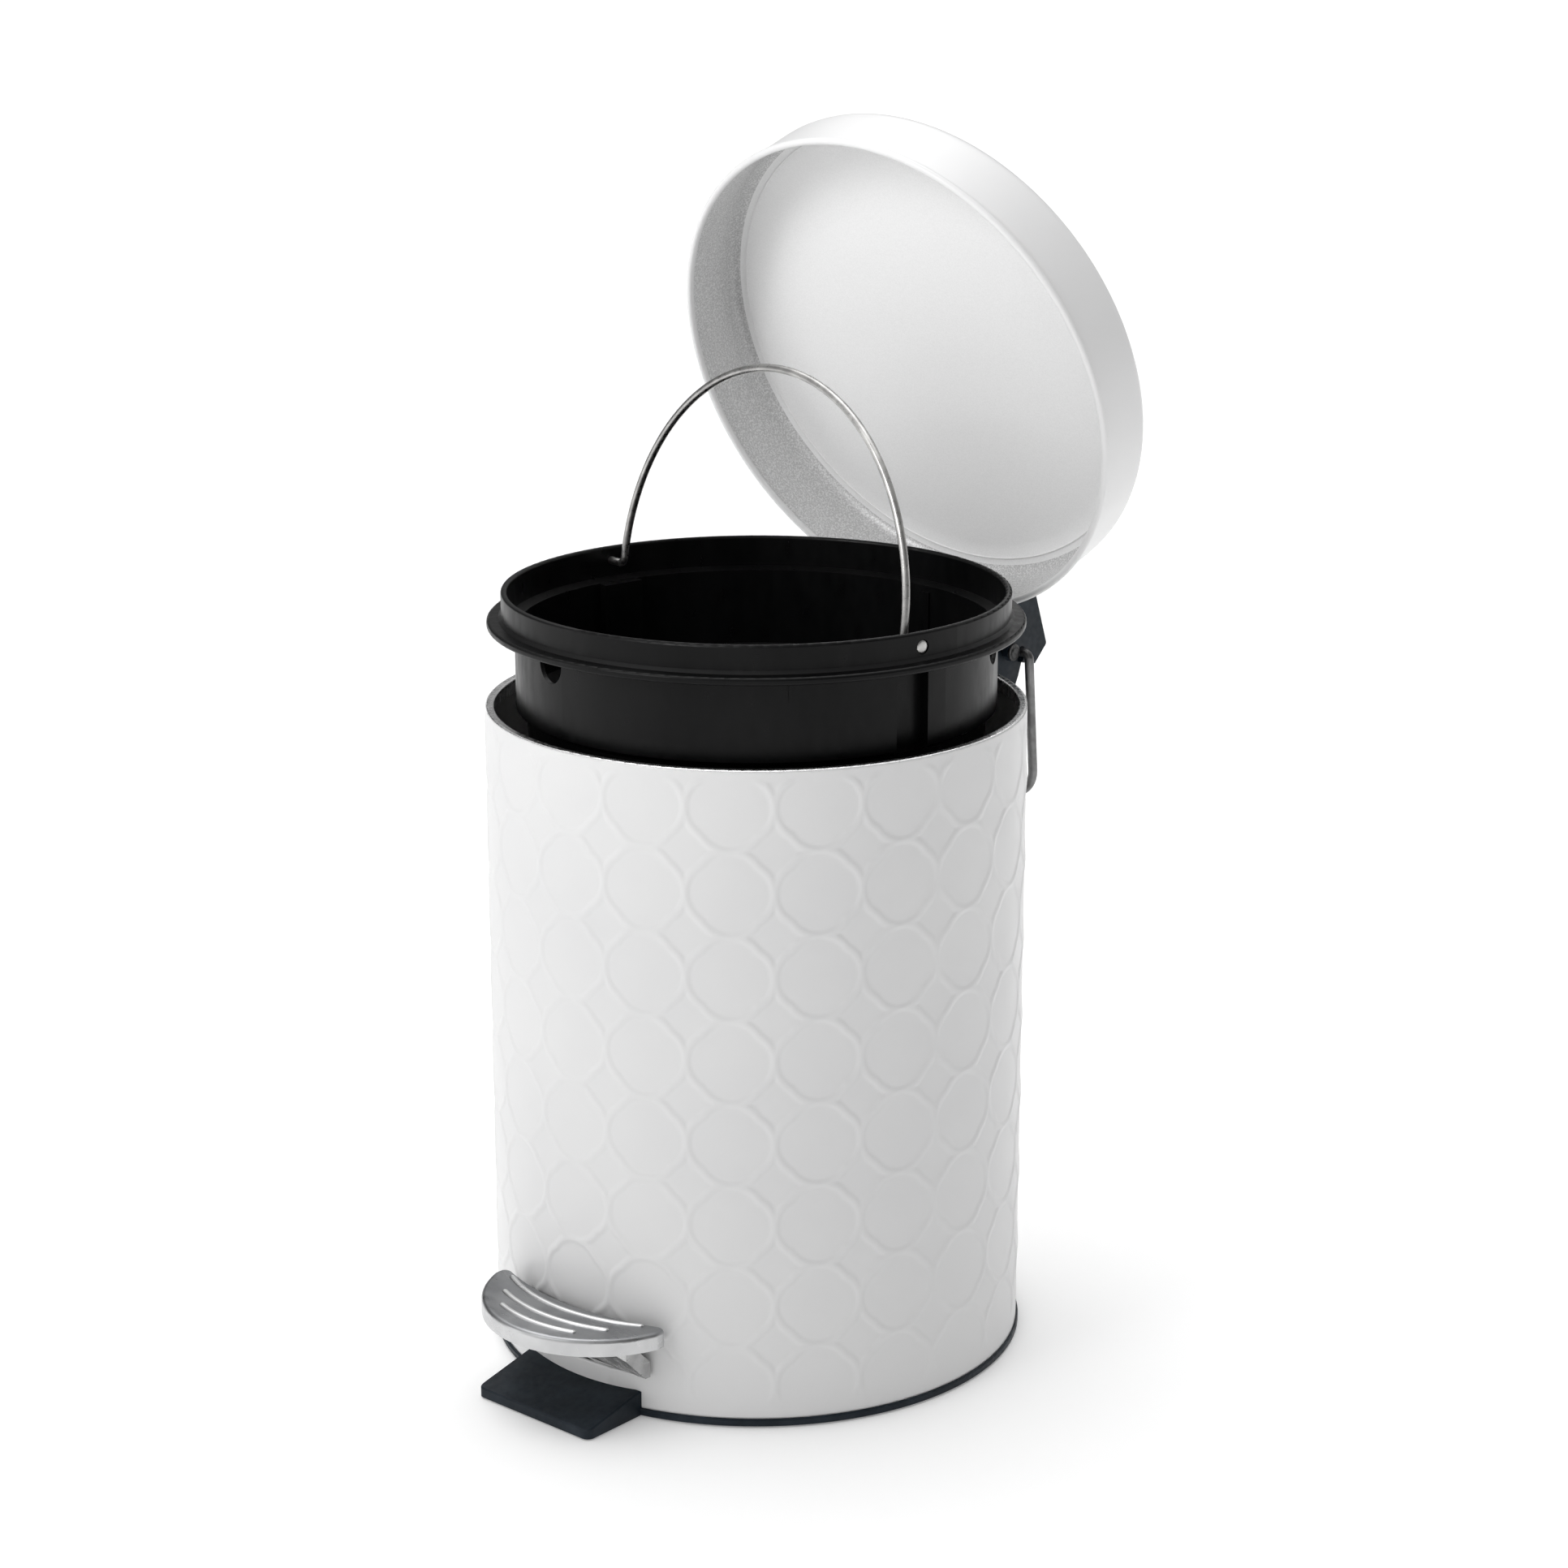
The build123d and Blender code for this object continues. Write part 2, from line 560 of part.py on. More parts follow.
# --- lid: a pressed cap with a rolled edge, drawn closed and swung open about the hinge ---
LID_PROFILE = swung(Plane.XZ)
LID_AXIS = Axis.Z.located(LID_SWING)
LID_TOP = LID_LOW + LID_H
LID_RIVET_Z = LID_LOW + 13.0
LID_RIVETS = [swung(radial(a, LID_R - LID_T, LID_RIVET_Z)) for a in (-10.0, 10.0)]
with BuildPart() as lid:
    with BuildSketch(LID_PROFILE) as cap:
        with BuildLine():
            Polyline(
                (0, LID_TOP), (LID_R, LID_TOP), (LID_R, LID_LOW + BEAD_R), (0, LID_LOW + BEAD_R), (0, LID_TOP)
            )
        make_face()
        fillet(cap.vertices().sort_by(lambda v: v.X**2)[-2:].sort_by(Axis.Y)[-1], LID_CORNER)
    revolve(axis=LID_AXIS)
    with BuildSketch(LID_PROFILE) as inside:
        with BuildLine():
            Polyline(
                (0, LID_TOP - LID_T),
                (LID_R - LID_T, LID_TOP - LID_T),
                (LID_R - LID_T, LID_LOW - 1),
                (0, LID_LOW - 1),
                (0, LID_TOP - LID_T),
            )
        make_face()
        corner = inside.vertices().sort_by(lambda v: v.X**2)[-2:].sort_by(Axis.Y)[-1]
        fillet(corner, LID_CORNER - LID_T)
    revolve(axis=LID_AXIS, mode=Mode.SUBTRACT)
    with BuildSketch(LID_PROFILE):
        with Locations((LID_R - LID_T / 2, LID_LOW + BEAD_R)):
            Circle(BEAD_R)
    revolve(axis=LID_AXIS)
    with Locations(*LID_RIVETS):
        Cylinder(RIVET_R, 6, mode=Mode.SUBTRACT)
save("lid", lid.part)

# --- lid bracket: a hood over the hinge, its cheeks on the pin, and the crank that the rod lifts ---
HOOD_OUTLINE = [
    (-18.0, 21.0),
    (7.9, 20.9),
    (11.9, 11.5),
    (9.0, 6.8),
    (3.2, -1.8),
    (0.0, -3.7),
    (-4.0, -2.0),
    (-18.0, 3.0),
]
HOOD_INSIDE = [(-20.0, 18.5), (6.4, 18.5), (9.9, 11.0), (13.0, 6.0), (13.0, -12.0), (-20.0, -12.0)]
CRANK_X = 4.0
CRANK_T = 2.5
CRANK_HALF_DEG = LID_OPEN_DEG / 2
SLOT_IN = CRANK_Y
SLOT_OUT = CRANK_Y / cos(radians(CRANK_HALF_DEG))
SLOT_MID = (SLOT_IN + SLOT_OUT) / 2
SLOT_PLAY = 0.35
NOSE_DIR_DEG = 180 + CRANK_HALF_DEG
NOSE = (SLOT_MID * cos(radians(NOSE_DIR_DEG)), SLOT_MID * sin(radians(NOSE_DIR_DEG)))
HANDLE_ARM = sqrt((HANDLE_Y - HINGE_Y) ** 2 + (HANDLE_Z - HINGE_Z) ** 2)
HANDLE_DIR_DEG = degrees(atan2(HANDLE_Z - HINGE_Z, HANDLE_Y - HINGE_Y))
HINGE_PLANE = swung(Plane(origin=(0, HINGE_Y, HINGE_Z), x_dir=(0, 1, 0), z_dir=(1, 0, 0)))
with BuildPart() as lid_bracket:
    with BuildSketch(HINGE_PLANE) as hood:
        Polygon(*HOOD_OUTLINE, align=None)
        fillet(hood.vertices().sort_by(Axis.Y)[-2:].sort_by(Axis.X)[-1], 1.4)
    extrude(amount=HOOD_OUT, both=True)
    with BuildSketch(HINGE_PLANE):
        Polygon(*HOOD_INSIDE, align=None)
    extrude(amount=HOOD_OUT - HOOD_T, both=True, mode=Mode.SUBTRACT)
    # curved slots that let the hood's cheeks pass the carrying handle's ends
    with BuildSketch(HINGE_PLANE):
        with BuildLine() as slot_line:
            CenterArc((0, 0), HANDLE_ARM, HANDLE_DIR_DEG - 30, LID_OPEN_DEG + 30)
        SlotArc(slot_line.edge(), 2 * (HANDLE_WIRE_R + 0.45))
    extrude(amount=HOOD_OUT + 1, both=True, mode=Mode.SUBTRACT)
    # crank
    with BuildSketch(HINGE_PLANE.offset(CRANK_X)):
        Circle(4.6)
        Polygon((-4.4, 0), (-12.0, 19.0), (6.0, 19.0), (4.4, 0), align=None)
        with Locations(NOSE):
            SlotCenterToCenter(SLOT_OUT - SLOT_IN, 6.4, rotation=NOSE_DIR_DEG)
        Polygon((-6.6, 4.0), (4.4, 0), (0, -4.4), NOSE, align=None)
        with Locations(NOSE):
            SlotCenterToCenter(
                SLOT_OUT - SLOT_IN + 0.2,
                2 * (ROD_R + SLOT_PLAY),
                rotation=NOSE_DIR_DEG,
                mode=Mode.SUBTRACT,
            )
    extrude(amount=CRANK_T)
    with BuildSketch(HINGE_PLANE):
        Circle(PIN_R + RUN)
    extrude(amount=HOOD_OUT + 1, both=True, mode=Mode.SUBTRACT)
    # saddle on the lid's wall
    with BuildSketch(swung(Plane.XY.offset(LID_LOW + 5.0))):
        Circle(LID_R + HOOD_T)
        with Locations((0, LID_R)):
            Rectangle(2 * HOOD_OUT, 30, mode=Mode.INTERSECT)
    extrude(amount=15.5)
    with BuildSketch(swung(Plane.XY.offset(LID_LOW - 12.0))):
        Circle(LID_R)
    extrude(amount=40.0, mode=Mode.SUBTRACT)
    with BuildSketch(swung(Plane.XY.offset(LID_LOW - 12.0))):
        Circle(SHELL_R + 0.6)
    extrude(amount=16.0, mode=Mode.SUBTRACT)
    with Locations(*[place.offset(2) for place in LID_RIVETS]):
        Cylinder(RIVET_R, 8, mode=Mode.SUBTRACT)
save("lid_bracket", lid_bracket.part)
save("lid_bracket_rivets", rivet_set(LID_RIVETS, LID_T + HOOD_T))

# --- carrying handle: a wire loop that hangs behind the can ---
HANDLE_IN = CHEEK_OUT - CHEEK_T + 0.4
HANDLE_LOW_Y = HANDLE_Y + 5.0
with BuildPart() as carry_handle:
    with BuildLine() as handle_line:
        FilletPolyline(
            (HANDLE_IN, HANDLE_Y, HANDLE_Z),
            (HANDLE_X, HANDLE_Y, HANDLE_Z),
            (HANDLE_X, HANDLE_LOW_Y, HANDLE_Z - HANDLE_DROP),
            (-HANDLE_X, HANDLE_LOW_Y, HANDLE_Z - HANDLE_DROP),
            (-HANDLE_X, HANDLE_Y, HANDLE_Z),
            (-HANDLE_IN, HANDLE_Y, HANDLE_Z),
            radius=(2.6, 11.0, 11.0, 2.6),
        )
    with BuildSketch(Plane(origin=handle_line.wire() @ 0, z_dir=handle_line.wire() % 0)):
        Circle(HANDLE_WIRE_R)
    sweep(path=handle_line.wire())
save("carry_handle", carry_handle.part)

# --- bucket: black plastic, with a flange that rests on the rim ring ---
CHANNEL_R = 86.6
CHANNEL_WIDE = 14.6
PAD_IN = 85.0
PAD_OUT = 90.2
NOTCH_HALF = 46.0  # 110 mm behind the axis
NOTCH_R = 97.8
BAG_HOLE_R = 7.4
BAG_HOLE_SIDE = 3.2
BAG_HOLES_DEG = (-14.0, 117.0)  # from -Y towards +X, like the ribs
OUTER_RIBS_DEG = (49.0, 142.0, 205.0, 290.0)
INNER_RIBS_DEG = (173.0, 325.0)
BAIL_AXIS = Axis((0, 0, BAIL_Z), (cos(radians(BAIL_TURN_DEG)), sin(radians(BAIL_TURN_DEG)), 0))
BAIL_UP = Vector(0, 0, 1).rotate(BAIL_AXIS, -BAIL_LEAN_DEG)
BAIL_PLANE = Plane(
    origin=BAIL_AXIS.position, x_dir=BAIL_AXIS.direction, z_dir=BAIL_AXIS.direction.cross(BAIL_UP)
)
RECESS_R = 2.7
RECESS_DEEP = 0.9
with BuildPart() as bucket:
    with BuildSketch(Plane.XZ) as wall:
        with BuildLine():
            Polyline(
                (0, BUCKET_LOW),
                (BOTTOM_R, BUCKET_LOW),
                (WALL_LOW_R, STEP_Z - 2.5),
                (WALL_R, STEP_Z),
                (WALL_R, FLANGE_LOW),
                (FLANGE_R, FLANGE_LOW),
                (FLANGE_R, FLANGE_LOW + FLANGE_T),
                (COLLAR_R + 1.2, FLANGE_LOW + FLANGE_T + 0.4),
                (COLLAR_R, FLANGE_LOW + FLANGE_T + 1.6),
                (COLLAR_R, BUCKET_TOP),
                (COLLAR_R - COLLAR_WALL, BUCKET_TOP),
                (COLLAR_R - COLLAR_WALL, FLANGE_LOW + 1.6),
                (WALL_R - BUCKET_WALL, FLANGE_LOW + 0.4),
                (WALL_R - BUCKET_WALL, STEP_Z + 1.0),
                (WALL_LOW_R - BUCKET_WALL, STEP_Z - 1.5),
                (BOTTOM_R - BUCKET_WALL, BUCKET_LOW + BUCKET_WALL),
                (0, BUCKET_LOW + BUCKET_WALL),
                (0, BUCKET_LOW),
            )
        make_face()
        low = wall.vertices().filter_by(lambda v: abs(v.Y - BUCKET_LOW) < 0.01 and v.X > 1)
        fillet(low, 5.0)
        lip = wall.vertices().filter_by(lambda v: abs(v.Y - BUCKET_TOP) < 0.01)
        fillet(lip, 1.0)
        brim = wall.vertices().filter_by(lambda v: v.X > FLANGE_R - 0.01)
        fillet(brim, 1.1)
    revolve(axis=Axis.Z)
    # flat channels in the wall under the bail's pins, each with a pad behind it
    for turn in (BAIL_TURN_DEG, BAIL_TURN_DEG + 180):
        for r_in, r_out, low in ((PAD_IN, CHANNEL_R, STEP_Z - 3), (CHANNEL_R - 0.6, PAD_OUT, STEP_Z - 0.5)):
            with BuildSketch(Plane.XY.offset(low).rotated((0, 0, turn))):
                with Locations(((r_in + r_out) / 2, 0)):
                    Rectangle(r_out - r_in, CHANNEL_WIDE + 2 * BUCKET_WALL)
            extrude(amount=FLANGE_LOW + 0.2 - low)
        with BuildSketch(Plane.XY.offset(STEP_Z - 1.5).rotated((0, 0, turn))):
            with Locations((CHANNEL_R + 5, 0)):
                Rectangle(10, CHANNEL_WIDE)
        extrude(amount=FLANGE_LOW - STEP_Z, mode=Mode.SUBTRACT)
    # the flange is cut back at the rear, where the opening lid's bead turns down past it
    with BuildSketch(Plane.XY.offset(FLANGE_LOW - 1)):
        Polygon((0, 0), (NOTCH_HALF, 110.0), (-NOTCH_HALF, 110.0), align=None)
        Circle(NOTCH_R, mode=Mode.SUBTRACT)
    extrude(amount=FLANGE_T + 2, mode=Mode.SUBTRACT)
    # half-round holes for a bin bag's edge, under the flange
    for angle in BAG_HOLES_DEG:
        with BuildSketch(radial(180 - angle, WALL_R - 4, FLANGE_LOW - 0.6)):
            with Locations((0, BAG_HOLE_SIDE)):
                Circle(BAG_HOLE_R)
            with Locations((0, BAG_HOLE_SIDE + BAG_HOLE_R)):
                Rectangle(2 * BAG_HOLE_R, 2 * BAG_HOLE_R, mode=Mode.INTERSECT)
            with Locations((0, BAG_HOLE_SIDE / 2)):
                Rectangle(2 * BAG_HOLE_R, BAG_HOLE_SIDE)
        extrude(amount=8, mode=Mode.SUBTRACT)
    # short ribs under the flange and long ones inside
    for angle in OUTER_RIBS_DEG:
        with BuildSketch(radial(180 - angle, WALL_R - 0.5, FLANGE_LOW - 4.0)):
            Rectangle(1.2, 8.2)
        extrude(amount=1.1)
    for angle in INNER_RIBS_DEG:
        with BuildSketch(radial(180 - angle, WALL_R - BUCKET_WALL - 0.9, (STEP_Z + FLANGE_LOW) / 2)):
            Rectangle(4.0, FLANGE_LOW - STEP_Z - 4)
        extrude(amount=1.4)
    # holes for the bail's ends, each in a shallow round recess
    with BuildSketch(Plane(origin=BAIL_AXIS.position, z_dir=BAIL_AXIS.direction)):
        Circle(BAIL_WIRE_R + RUN)
    extrude(amount=COLLAR_R + 2, both=True, mode=Mode.SUBTRACT)
    for side in (-1, 1):
        out = BAIL_AXIS.direction * side
        with BuildSketch(Plane(origin=BAIL_AXIS.position + out * (COLLAR_R - RECESS_DEEP), z_dir=out)):
            Circle(RECESS_R)
        extrude(amount=3, mode=Mode.SUBTRACT)
save("bucket", bucket.part)

# --- bail: the bucket's wire handle, its bent ends through the collar ---
BEND_R = 2.4
BAIL_APEX = 87.0  # above the pins; lying down, the bail has to clear the collar
with BuildPart() as bail:
    with BuildLine(BAIL_PLANE) as bail_line:
        end = COLLAR_R - 0.2
        foot = BAIL_R + BEND_R
        mid = BEND_R * (1 - sqrt(0.5))
        Line((end, 0), (foot, 0))
        ThreePointArc((foot, 0), (BAIL_R + mid, mid), (BAIL_R, BEND_R))
        ThreePointArc((BAIL_R, BEND_R), (0, BAIL_APEX), (-BAIL_R, BEND_R))
        ThreePointArc((-BAIL_R, BEND_R), (-BAIL_R - mid, mid), (-foot, 0))
        Line((-foot, 0), (-end, 0))
    with BuildSketch(Plane(origin=bail_line.wire() @ 0, z_dir=bail_line.wire() % 0)):
        Circle(BAIL_WIRE_R)
    sweep(path=bail_line.wire())
save("bail", bail.part)
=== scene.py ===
"""Looks of the pedal bin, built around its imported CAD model. Metres, in the CAD's own frame."""

import json
import math

import bmesh
import bpy
import numpy as np
from mathutils import Matrix, Vector


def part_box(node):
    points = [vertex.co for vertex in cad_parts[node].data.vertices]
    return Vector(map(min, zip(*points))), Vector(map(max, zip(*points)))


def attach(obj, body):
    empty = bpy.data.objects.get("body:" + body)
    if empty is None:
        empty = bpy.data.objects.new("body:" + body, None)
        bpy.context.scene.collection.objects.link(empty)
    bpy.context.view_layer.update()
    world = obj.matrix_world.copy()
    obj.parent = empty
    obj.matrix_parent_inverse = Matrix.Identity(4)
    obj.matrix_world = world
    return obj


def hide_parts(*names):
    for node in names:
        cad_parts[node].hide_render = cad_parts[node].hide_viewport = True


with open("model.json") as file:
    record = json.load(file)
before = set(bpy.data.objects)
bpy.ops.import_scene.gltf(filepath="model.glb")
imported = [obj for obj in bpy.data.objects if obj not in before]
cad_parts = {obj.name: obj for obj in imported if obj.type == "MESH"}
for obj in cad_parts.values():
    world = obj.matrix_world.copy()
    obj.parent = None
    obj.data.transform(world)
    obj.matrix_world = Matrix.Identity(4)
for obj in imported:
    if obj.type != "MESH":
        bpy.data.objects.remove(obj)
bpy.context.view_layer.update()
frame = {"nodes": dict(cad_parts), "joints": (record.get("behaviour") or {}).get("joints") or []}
scene = bpy.context.scene
nodes = frame["nodes"]
joints = {joint["name"]: joint for joint in frame["joints"]}
MM = 0.001
UP = Vector((0, 0, 1))

# ---------------------------------------------------------------- sizes shared with the CAD nodes
shell_low, shell_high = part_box("body_shell")
SHELL_R = shell_high.y
SHELL_T = 0.8 * MM
LEVER_SLOT_HALF = 27.4 * MM
LEVER_SLOT_Z = (16.9 * MM, 36.2 * MM)
LEVER_SLOT_ANGLE = math.asin(LEVER_SLOT_HALF / SHELL_R)  # of its sides, from -Y
ROD_SLOT_HALF = 2.6 * MM
ROD_SLOT_Z = (218.5 * MM, 242.5 * MM)
ROD_SLOT_ANGLE = math.pi - math.asin(ROD_SLOT_HALF / SHELL_R)
HINGE = Vector(joints["lid_hinge"]["pos_m"])
LID_OPEN = math.radians(joints["lid_hinge"]["range_deg"][1])
TREAD_RIB = 0.8 * MM  # how far the tread's ribs stand up
TREAD_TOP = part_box("pedal_tread")[1].z - TREAD_RIB

# ---------------------------------------------------------------- camera
CAM_AZIMUTH = math.radians(41.5)  # from the pedal's direction towards +X
CAM_DISTANCE = 1.26295
CAM_HEIGHT = 0.57447
CAM_YAW = math.radians(-0.47)
CAM_PITCH = math.radians(15.73)
CAM_LENS = 78.88

turn = CAM_AZIMUTH + CAM_YAW
right = Vector((math.cos(turn), math.sin(turn), 0))
ahead = Vector((-math.sin(turn), math.cos(turn), 0))
forward = ahead * math.cos(CAM_PITCH) - Vector((0, 0, math.sin(CAM_PITCH)))
camera_data = bpy.data.cameras.new("camera")
camera_data.lens = CAM_LENS
camera_data.sensor_width = 36
camera_data.clip_end = 100
camera = bpy.data.objects.new("camera", camera_data)
scene.collection.objects.link(camera)
axes = Matrix((right, right.cross(forward), -forward)).transposed().to_4x4()
place = (math.sin(CAM_AZIMUTH) * CAM_DISTANCE, -math.cos(CAM_AZIMUTH) * CAM_DISTANCE, CAM_HEIGHT)
camera.matrix_world = Matrix.Translation(place) @ axes
scene.camera = camera
scene.view_settings.view_transform = "Standard"


# ---------------------------------------------------------------- material helpers
def grey(value):
    return (value, value, value)


def math_node(tree, operation, a, b):
    """The result of a Math node on two numbers or sockets."""
    node = tree.nodes.new("ShaderNodeMath")
    node.operation = operation
    for socket, value in zip(node.inputs, (a, b)):
        if isinstance(value, (int, float)):
            socket.default_value = value
        else:
            tree.links.new(value, socket)
    return node.outputs["Value"]


class Look:
    """A Principled material with procedural detail in object coordinates.

    A grain is the scale, the detail and, if it isn't even, the stretch of a noise.
    """

    ROUGHNESS_EDGES = (0.3, 0.7)  # the noise values that give the least and the most roughness

    def __init__(self, name, color, roughness, **sockets):
        self.material = bpy.data.materials.new(name)
        self.material.use_nodes = True
        self.tree = self.material.node_tree
        self.shader = self.tree.nodes["Principled BSDF"]
        self.shader.inputs["Base Color"].default_value = (*color, 1)
        self.shader.inputs["Roughness"].default_value = roughness
        for socket, value in sockets.items():
            self.shader.inputs[socket.replace("_", " ")].default_value = value
        self.coords = self.tree.nodes.new("ShaderNodeTexCoord").outputs["Object"]

    def link(self, a, b):
        self.tree.links.new(a, b)

    def noise(self, scale, detail, stretch=(1, 1, 1)):
        mapping = self.tree.nodes.new("ShaderNodeMapping")
        mapping.inputs["Scale"].default_value = stretch
        self.link(self.coords, mapping.inputs["Vector"])
        noise = self.tree.nodes.new("ShaderNodeTexNoise")
        noise.inputs["Scale"].default_value = scale
        noise.inputs["Detail"].default_value = detail
        self.link(mapping.outputs["Vector"], noise.inputs["Vector"])
        return noise.outputs["Fac"]

    def remap(self, value, low, high, to_low, to_high):
        node = self.tree.nodes.new("ShaderNodeMapRange")
        node.inputs["From Min"].default_value = low
        node.inputs["From Max"].default_value = high
        node.inputs["To Min"].default_value = to_low
        node.inputs["To Max"].default_value = to_high
        self.link(value, node.inputs["Value"])
        return node.outputs["Result"]

    def blend(self, value, dark, light):
        """Colour that goes from dark to light with a value of 0 to 1."""
        mix = self.tree.nodes.new("ShaderNodeMix")
        mix.data_type = "RGBA"
        mix.inputs["A"].default_value = (*dark, 1)
        mix.inputs["B"].default_value = (*light, 1)
        self.link(value, mix.inputs["Factor"])
        self.link(mix.outputs["Result"], self.shader.inputs["Base Color"])

    def color(self, grain, edges, dark, light):
        """Colour by a noise, which is dark at the first edge and light at the second."""
        self.blend(self.remap(self.noise(*grain), *edges, 0, 1), dark, light)

    def roughness(self, grain, low, high):
        value = self.remap(self.noise(*grain), *self.ROUGHNESS_EDGES, low, high)
        self.link(value, self.shader.inputs["Roughness"])

    def bump(self, grain, strength, depth):
        node = self.tree.nodes.new("ShaderNodeBump")
        node.inputs["Strength"].default_value = strength
        node.inputs["Distance"].default_value = depth
        self.link(self.noise(*grain), node.inputs["Height"])
        self.link(node.outputs["Normal"], self.shader.inputs["Normal"])


# ---------------------------------------------------------------- materials
def painted(name, value, dark, light):
    """White paint under a thin clear coat."""
    look = Look(name, grey(value), 0.36, Coat_Weight=0.25, Coat_Roughness=0.2)
    look.color((14, 3), (0.35, 0.65), dark, light)
    look.roughness((60, 4), 0.31, 0.41)
    look.bump((520, 2), 0.12, 0.05 * MM)
    return look


paint = painted("white_paint", 0.73, (0.72, 0.72, 0.723), grey(0.745))
lid_paint = painted("lid_white_paint", 0.8, (0.79, 0.79, 0.793), grey(0.815))

enamel = Look("lid_inside_white", grey(0.9), 0.42)
enamel.color((1700, 2), (0.35, 0.65), grey(0.87), grey(0.92))
enamel.roughness((60, 4), 0.36, 0.46)
enamel.bump((900, 3), 0.12, 0.04 * MM)

# the lid's inner wall: a darker, slightly metallic grey than the inner disc
lid_wall_grey = Look("lid_inner_wall", grey(0.6), 0.42, Metallic=0.2)
lid_wall_grey.color((1500, 2), (0.42, 0.66), grey(0.56), grey(0.82))
lid_wall_grey.roughness((900, 3), 0.36, 0.5)
lid_wall_grey.bump((1900, 2), 0.25, 0.04 * MM)

bucket_look = Look("bucket_plastic", grey(0.003), 0.34, Specular_IOR_Level=0.15)
BUCKET_DARK, BUCKET_LIGHT = (0.0016, 0.0016, 0.0018), (0.0045, 0.0045, 0.0047)
bucket_look.color((35, 5, (1, 1, 0.35)), (0.35, 0.7), BUCKET_DARK, BUCKET_LIGHT)
bucket_look.roughness((240, 4, (1, 1, 0.4)), 0.27, 0.39)
bucket_look.bump((2400, 2), 0.3, 0.03 * MM)

dark_plastic = Look("blue_black_plastic", (0.008, 0.012, 0.018), 0.46, Specular_IOR_Level=0.22)
dark_plastic.color((70, 6), (0.4, 0.75), (0.005, 0.010, 0.016), (0.016, 0.024, 0.034))
dark_plastic.roughness((420, 5), 0.38, 0.56)
dark_plastic.bump((2000, 3), 0.4, 0.04 * MM)

# the tread: colour by height paints a highlight on its ribs and along its edge, and a dark reflection in
# between
RIB_SHEEN_START, RIB_SHEEN_FULL = TREAD_TOP + 0.05 * MM, TREAD_TOP + 0.5 * MM
EDGE_SHEEN_FULL, EDGE_SHEEN_END = TREAD_TOP - 1.6 * MM, TREAD_TOP - 0.35 * MM
EDGE_SHEEN_PEAK = 0.6
SHEEN_SHARE, NOISE_SHARE = 0.85, 0.15
steel = Look("stainless_painted_sheen", grey(0.5), 0.32, Metallic=1.0)
height = steel.tree.nodes.new("ShaderNodeSeparateXYZ")
steel.link(steel.coords, height.inputs["Vector"])
on_ribs = steel.remap(height.outputs["Z"], RIB_SHEEN_START, RIB_SHEEN_FULL, 0, 1)
on_edge = steel.remap(height.outputs["Z"], EDGE_SHEEN_FULL, EDGE_SHEEN_END, EDGE_SHEEN_PEAK, 0)
# painted highlight on the ribs and the edge's fall, painted dark reflection between them, with random
# mottling on top
painted_sheen = math_node(steel.tree, "MAXIMUM", on_ribs, on_edge)
painted_sheen = math_node(steel.tree, "MULTIPLY", painted_sheen, SHEEN_SHARE)
mottled = steel.remap(steel.noise(90, 6), 0.35, 0.7, 0, NOISE_SHARE)
steel.blend(math_node(steel.tree, "ADD", painted_sheen, mottled), (0.28, 0.285, 0.295), grey(0.80))
steel.roughness((300, 5, (0.15, 1, 1)), 0.24, 0.42)
steel.bump((1500, 3, (0.08, 1, 1)), 0.1, 0.02 * MM)

lever_steel = Look("lever_stainless", grey(0.5), 0.3, Metallic=1.0)
lever_steel.color((120, 5), (0.35, 0.7), grey(0.38), grey(0.62))
lever_steel.roughness((300, 5, (1, 0.2, 1)), 0.2, 0.38)
lever_steel.bump((1500, 3, (1, 0.1, 1)), 0.1, 0.02 * MM)

rim_steel = Look("rim_steel", grey(0.88), 0.26, Metallic=1.0)
rim_steel.roughness((500, 3, (1, 1, 0.1)), 0.2, 0.34)
rim_steel.bump((900, 2, (0.3, 0.3, 1)), 0.1, 0.02 * MM)

wire = Look("wire_steel", grey(0.45), 0.3, Metallic=1.0)
wire.color((160, 5), (0.35, 0.7), (0.36, 0.355, 0.35), (0.56, 0.555, 0.54))
wire.roughness((700, 4), 0.24, 0.4)
wire.bump((1800, 3), 0.15, 0.02 * MM)

handle_wire = Look("handle_wire", grey(0.2), 0.38, Metallic=1.0)
handle_wire.color((160, 5), (0.35, 0.7), grey(0.14), grey(0.25))
handle_wire.roughness((700, 4), 0.3, 0.46)
handle_wire.bump((1800, 3), 0.15, 0.02 * MM)

dark_steel = Look("dark_pin_steel", grey(0.08), 0.42, Metallic=1.0)
dark_steel.color((800, 4), (0.35, 0.7), grey(0.06), grey(0.11))
dark_steel.roughness((900, 4), 0.36, 0.5)

zinc = Look("zinc_steel", grey(0.5), 0.35, Metallic=1.0)
zinc.color((800, 4), (0.35, 0.7), grey(0.42), grey(0.6))
zinc.roughness((900, 4), 0.28, 0.45)
zinc.bump((2500, 2), 0.15, 0.02 * MM)

rubber = Look("rubber", grey(0.02), 0.8)
rubber.color((300, 4), (0.35, 0.7), grey(0.014), grey(0.028))
rubber.bump((1800, 3), 0.4, 0.04 * MM)

LOOKS = {
    "body_shell": paint,
    "lid": lid_paint,
    "bucket": bucket_look,
    "base_ring": dark_plastic,
    "floor_pan": dark_plastic,
    "rod_guide": dark_plastic,
    "rear_bracket": dark_plastic,
    "lid_bracket": dark_plastic,
    "rubber_ring": rubber,
    "pedal_tread": steel,
    "pedal_lever": lever_steel,
    "rim_ring": rim_steel,
    "bail": wire,
    "carry_handle": handle_wire,
    "hinge_pin": dark_steel,
    "hinge_pin_clips": dark_steel,
    "push_rod": wire,
}  # every other node is zinc plated
for name, node in nodes.items():
    node.data.materials.clear()
    node.data.materials.append(LOOKS.get(name, zinc).material)


